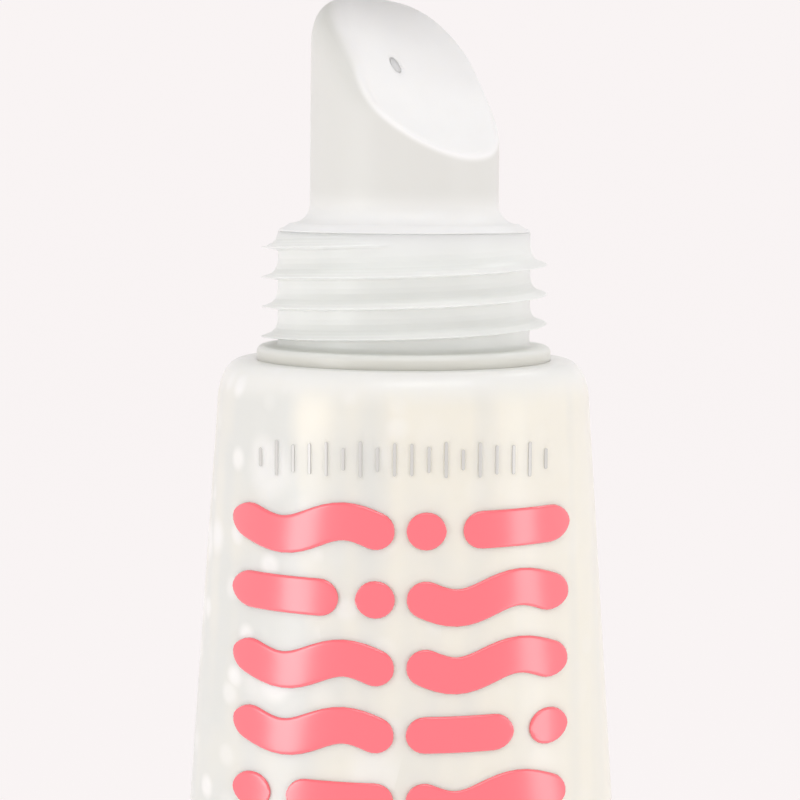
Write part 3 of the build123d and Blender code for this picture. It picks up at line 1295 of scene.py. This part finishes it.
@dataclass
class ScrewCap:
    """The cap: polished outer shell, threaded liner and sealing ring, lifted clear of the tip."""

    head: ThreadedHead
    edge: float = 1.0
    draft: float = 0.4
    foot_round: float = 0.2
    roof: float = 1.3
    roof_dish: float = 0.05
    bore: float = 7.3
    bore_corner: float = 0.5
    fit: float = 0.04
    liner_radius: float = 8.2
    liner_bore: float = 7.45
    liner_thread_radius: float = 6.6
    liner_turns: float = 2.4
    liner_lead: float = 1.59
    liner_fade_turn: float = 0.1
    liner_gap: float = 0.3
    web: float = 0.8
    web_radius: float = 5.45
    pocket_radius: float = 6.9
    gasket_bore: float = 5.6
    gasket_round: float = 0.18
    around: int = 288

    def build_shell(self) -> bpy.types.Object:
        """Build the outer shell."""
        low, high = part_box("cap_shell")
        foot, top, foot_r = low.z / MM, high.z / MM, high.x / MM
        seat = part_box("cap_liner")[1].z / MM + self.fit
        inner = self.liner_radius + self.fit
        foot_round, edge, bore, ceiling = self.foot_round, self.edge, self.bore, top - self.roof
        head_r = foot_r - self.draft
        profile = [(inner, foot + 0.2), (inner + 0.15, foot), (foot_r - foot_round, foot)]
        profile += arc((foot_r - foot_round, foot + foot_round), (foot_round, foot_round), -60, 0, 3)
        rise = np.linspace(0.08, 1, 10)
        profile += [(foot_r + (head_r - foot_r) * s, foot + (top - edge - foot) * s) for s in rise]
        profile += arc((head_r - edge, top - edge), (edge, edge), 0, 90, 10)[1:]
        profile += [(head_r - edge - 0.6, top), (3.0, top - 0.8 * self.roof_dish)]
        profile += [(0.0, top - self.roof_dish), (0.0, ceiling)]
        profile += [(bore - self.bore_corner, ceiling), (bore, ceiling - self.bore_corner), (bore, seat)]
        profile += [(inner, seat)]
        return skin("cap_outer_shell", turned(profile, 200), wrap_rows=True, sharp_deg=45)

    def build_liner(self) -> bpy.types.Object:
        """Build the liner, whose right-hand thread starts half a turn round from the neck's."""
        low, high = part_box("cap_liner")
        foot, top = low.z / MM, high.z / MM
        lift = foot - (self.head.top + self.head.flange_height + self.liner_gap)
        turn = np.linspace(0, FULL_TURN, self.around, endpoint=False)
        pitch = self.head.pitch
        start = self.head.start_height + self.liner_lead
        rises = (-0.48, -0.39, -0.14, 0.14, 0.21, 0.34, 0.41, 0.45)
        shares = (0.0, 0.05, 0.42, 0.95, 1.0, 1.0, 0.95, 0.0)
        rows = []
        pocket = self.head.top + lift + self.head.neck_height - 0.1
        for z in np.arange(foot + 0.05, pocket, 0.04):
            local = z - lift - self.head.top
            swell = np.zeros_like(turn)
            for lap in range(-1, 5):
                along = turn / FULL_TURN + lap - self.head.start_turn - 0.5
                ease = np.clip(np.minimum(along, self.liner_turns - along) / self.liner_fade_turn, 0, 1)
                fin = np.interp(local - (start + along * pitch), rises, shares, left=0.0, right=0.0)
                swell = np.maximum(swell, fin * ease)
            r = self.liner_bore + (self.liner_thread_radius - self.liner_bore) * swell
            rows.append(np.stack([r * np.cos(turn), r * np.sin(turn), np.full_like(r, z)], axis=1))
        web_foot = top - self.web
        ring = [(self.liner_bore, pocket), (self.pocket_radius, pocket), (self.pocket_radius, web_foot)]
        ring += [(self.web_radius, web_foot), (self.web_radius, top), (self.liner_radius, top)]
        ring += [(self.liner_radius, foot + 0.1), (self.liner_radius - 0.1, foot), (self.liner_bore, foot)]
        rows = np.concatenate([np.stack(rows), turned(ring, self.around)])
        return skin("cap_threaded_liner", rows, wrap_rows=True, sharp_deg=45)

    def build_gasket(self) -> bpy.types.Object:
        """Build the sealing ring, with softly crushed edges."""
        low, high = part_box("cap_gasket")
        foot, top, outer = low.z / MM, high.z / MM, high.x / MM
        inner, soft = self.gasket_bore, self.gasket_round
        profile = arc((outer - soft, foot + soft), (soft, soft), -90, 0, 4)
        profile += arc((outer - soft, top - soft), (soft, soft), 0, 90, 4)
        profile += arc((inner + soft, top - soft), (soft, soft), 90, 180, 4)
        profile += arc((inner + soft, foot + soft), (soft, soft), 180, 270, 4)
        return skin("cap_sealing_ring", turned(profile, 128), wrap_rows=True)


# ---------------------------------------------------------------- studio


@dataclass
class Studio:
    """Paper floor, soft lights and the camera. Lengths in metres."""

    view_distance: float = 0.1134
    eye_height: float = 0.0890
    pitch_deg: float = 5.61
    roll_deg: float = 0.33
    lens_mm: float = 100.0
    sideways: float = -0.00017
    paper_reach_mm: float = 1600.0
    paper_sweep_mm: float = 500.0
    paper_drop_mm: float = 0.2

    def build_floor(self) -> bpy.types.Object:
        """Build the paper floor, curved up all round."""
        sweep, low = self.paper_sweep_mm, -self.paper_drop_mm
        flat = self.paper_reach_mm - sweep
        line = [(0.0, low), (flat, low)]
        line += arc((flat, low + sweep), (sweep, sweep), -90, 0, 12)[1:]
        floor = skin("paper_floor", turned(line, 96), wrap_rows=False)
        floor.data.flip_normals()
        floor.data.materials.append(StudioPaper().make())
        return floor

    def add_light(
        self,
        name: str,
        azimuth: float,
        rise: float,
        reach: float,
        size: tuple[float, float],
        glow: float,
        aim: float = 0.075,
    ) -> None:
        """Add a soft box aimed at the tube's axis.

        Args:
            name: the light's name.
            azimuth: degrees round from the camera's side, anticlockwise from above.
            rise: degrees above level.
            reach: its distance.
            size: its width and height.
            glow: how bright its face is; bare white paper is 0.9.
            aim: the height it is aimed at.
        """
        light = bpy.data.lights.new(name, "AREA")
        light.shape = "RECTANGLE"
        light.size, light.size_y = size
        light.energy = glow * math.pi * size[0] * size[1]
        holder = bpy.data.objects.new(name, light)
        a, e = math.radians(azimuth), math.radians(rise)
        away = np.array([math.sin(a) * math.cos(e), -math.cos(a) * math.cos(e), math.sin(e)])
        holder.location = np.array([0, 0, aim]) + away * reach
        holder.rotation_euler = Vector(away).to_track_quat("Z", "Y").to_euler()
        bpy.context.scene.collection.objects.link(holder)

    def build_lights(self) -> None:
        """Add the world glow and the soft boxes."""
        world = bpy.data.worlds.new("studio_air")
        world.use_nodes = True
        world.node_tree.nodes["Background"].inputs[0].default_value = linear("#f7f6f5")
        world.node_tree.nodes["Background"].inputs[1].default_value = 0.68
        bpy.context.scene.world = world
        self.add_light("left_strip", -55, 0, 0.11, (0.034, 0.106), 2.6, 0.06)
        self.add_light("right_strip", 68, 0, 0.11, (0.03, 0.106), 1.85, 0.06)
        self.add_light("over_front", 22, 62, 0.6, (0.5, 0.14), 3.6)
        self.add_light("over_back", 134, 46, 0.6, (0.07, 0.07), 8.0, 0.09)

    def build_camera(self) -> None:
        """Add the camera, level with the neck and tipped slightly down."""
        data = bpy.data.cameras.new("product_camera")
        data.lens = self.lens_mm
        data.sensor_width = 36.0
        data.clip_start, data.clip_end = 0.005, 20.0
        camera = bpy.data.objects.new("product_camera", data)
        camera.location = (self.sideways, -self.view_distance, self.eye_height)
        camera.rotation_mode = "XYZ"
        tip = Matrix.Rotation(math.radians(90 - self.pitch_deg), 4, "X")
        lean = Matrix.Rotation(math.radians(self.roll_deg), 4, "Z")
        camera.rotation_euler = (tip @ lean).to_euler()
        bpy.context.scene.collection.objects.link(camera)
        bpy.context.scene.camera = camera
        bpy.context.scene.view_settings.view_transform = "Standard"


def main() -> None:
    """Build the tube, its cap and the studio in order."""
    logging.basicConfig(level=logging.INFO, format="%(message)s")
    studio = Studio()
    studio.build_camera()
    studio.build_floor()
    studio.build_lights()

    # each plastic's third colour is its gel-side one: gel behind the wall, and painted shade at the neck's
    # foot and down the tip's barrel
    neck_plastic = MouldedPolyolefin(
        "moulded_natural_polyethylene_neck", "#eef0ed", "#eaece9", "#d4d3ca", depth_mm=1.3
    ).make()
    tip_plastic = MouldedPolyolefin(
        "moulded_natural_polyethylene_tip", "#fbfbfa", "#f7f7f6", "#e1e1dd", roughness=0.42, depth_mm=0.2
    ).make()
    # The cap's mould is polished, so its outside is glossier than the neck; its liner's is not.
    cap_plastic = MouldedPolyolefin(
        "polished_white_polypropylene", "#f1f0ee", "#edecea", "#edecea", roughness=0.18, depth_mm=0.6
    ).make()
    liner_plastic = MouldedPolyolefin(
        "moulded_white_polypropylene", "#ecebe8", "#e7e5e1", "#e7e5e1", roughness=0.36, depth_mm=0.6
    ).make()
    # Closed-cell foam is dull, with a fine grain of burst cells.
    foam = MouldedPolyolefin(
        "expanded_polyethylene_foam",
        "#eae9e6",
        "#dedcd8",
        "#dedcd8",
        roughness=0.6,
        depth_mm=0.8,
        waviness_mm=0.4,
    ).make()
    skin_finish = GelFilledSleeve().make()
    pink = RaisedInk("screen_printed_coral_ink", "#ff6471").make()
    silver = RaisedInk("screen_printed_pearl_grey_ink", "#cdccc8").make()

    sleeve = Sleeve()
    settle(sleeve.build_skin(), Body.TUBE, Slot.SLEEVE, skin_finish, "tube_sleeve")
    bold, fine = Print(sleeve).build()
    settle(bold, Body.TUBE, Slot.INK, pink)
    settle(fine, Body.TUBE, Slot.INK, silver)
    head = ThreadedHead()
    settle(head.build(), Body.TUBE, Slot.HEAD, neck_plastic, "tube_head")
    tip = SlantedTip()
    settle(tip.build(), Body.TUBE, Slot.TIP, tip_plastic, "applicator_tip")
    settle(GelFilling(sleeve, tip).build(), Body.TUBE, Slot.GEL, PearlyGel().make(), "gloss_fill")
    cap = ScrewCap(head)
    settle(cap.build_shell(), Body.CAP, Slot.CAP, cap_plastic, "cap_shell")
    settle(cap.build_liner(), Body.CAP, Slot.LINER, liner_plastic, "cap_liner")
    settle(cap.build_gasket(), Body.GASKET, Slot.GASKET, foam, "cap_gasket")


if __name__ == "__main__":
    main()
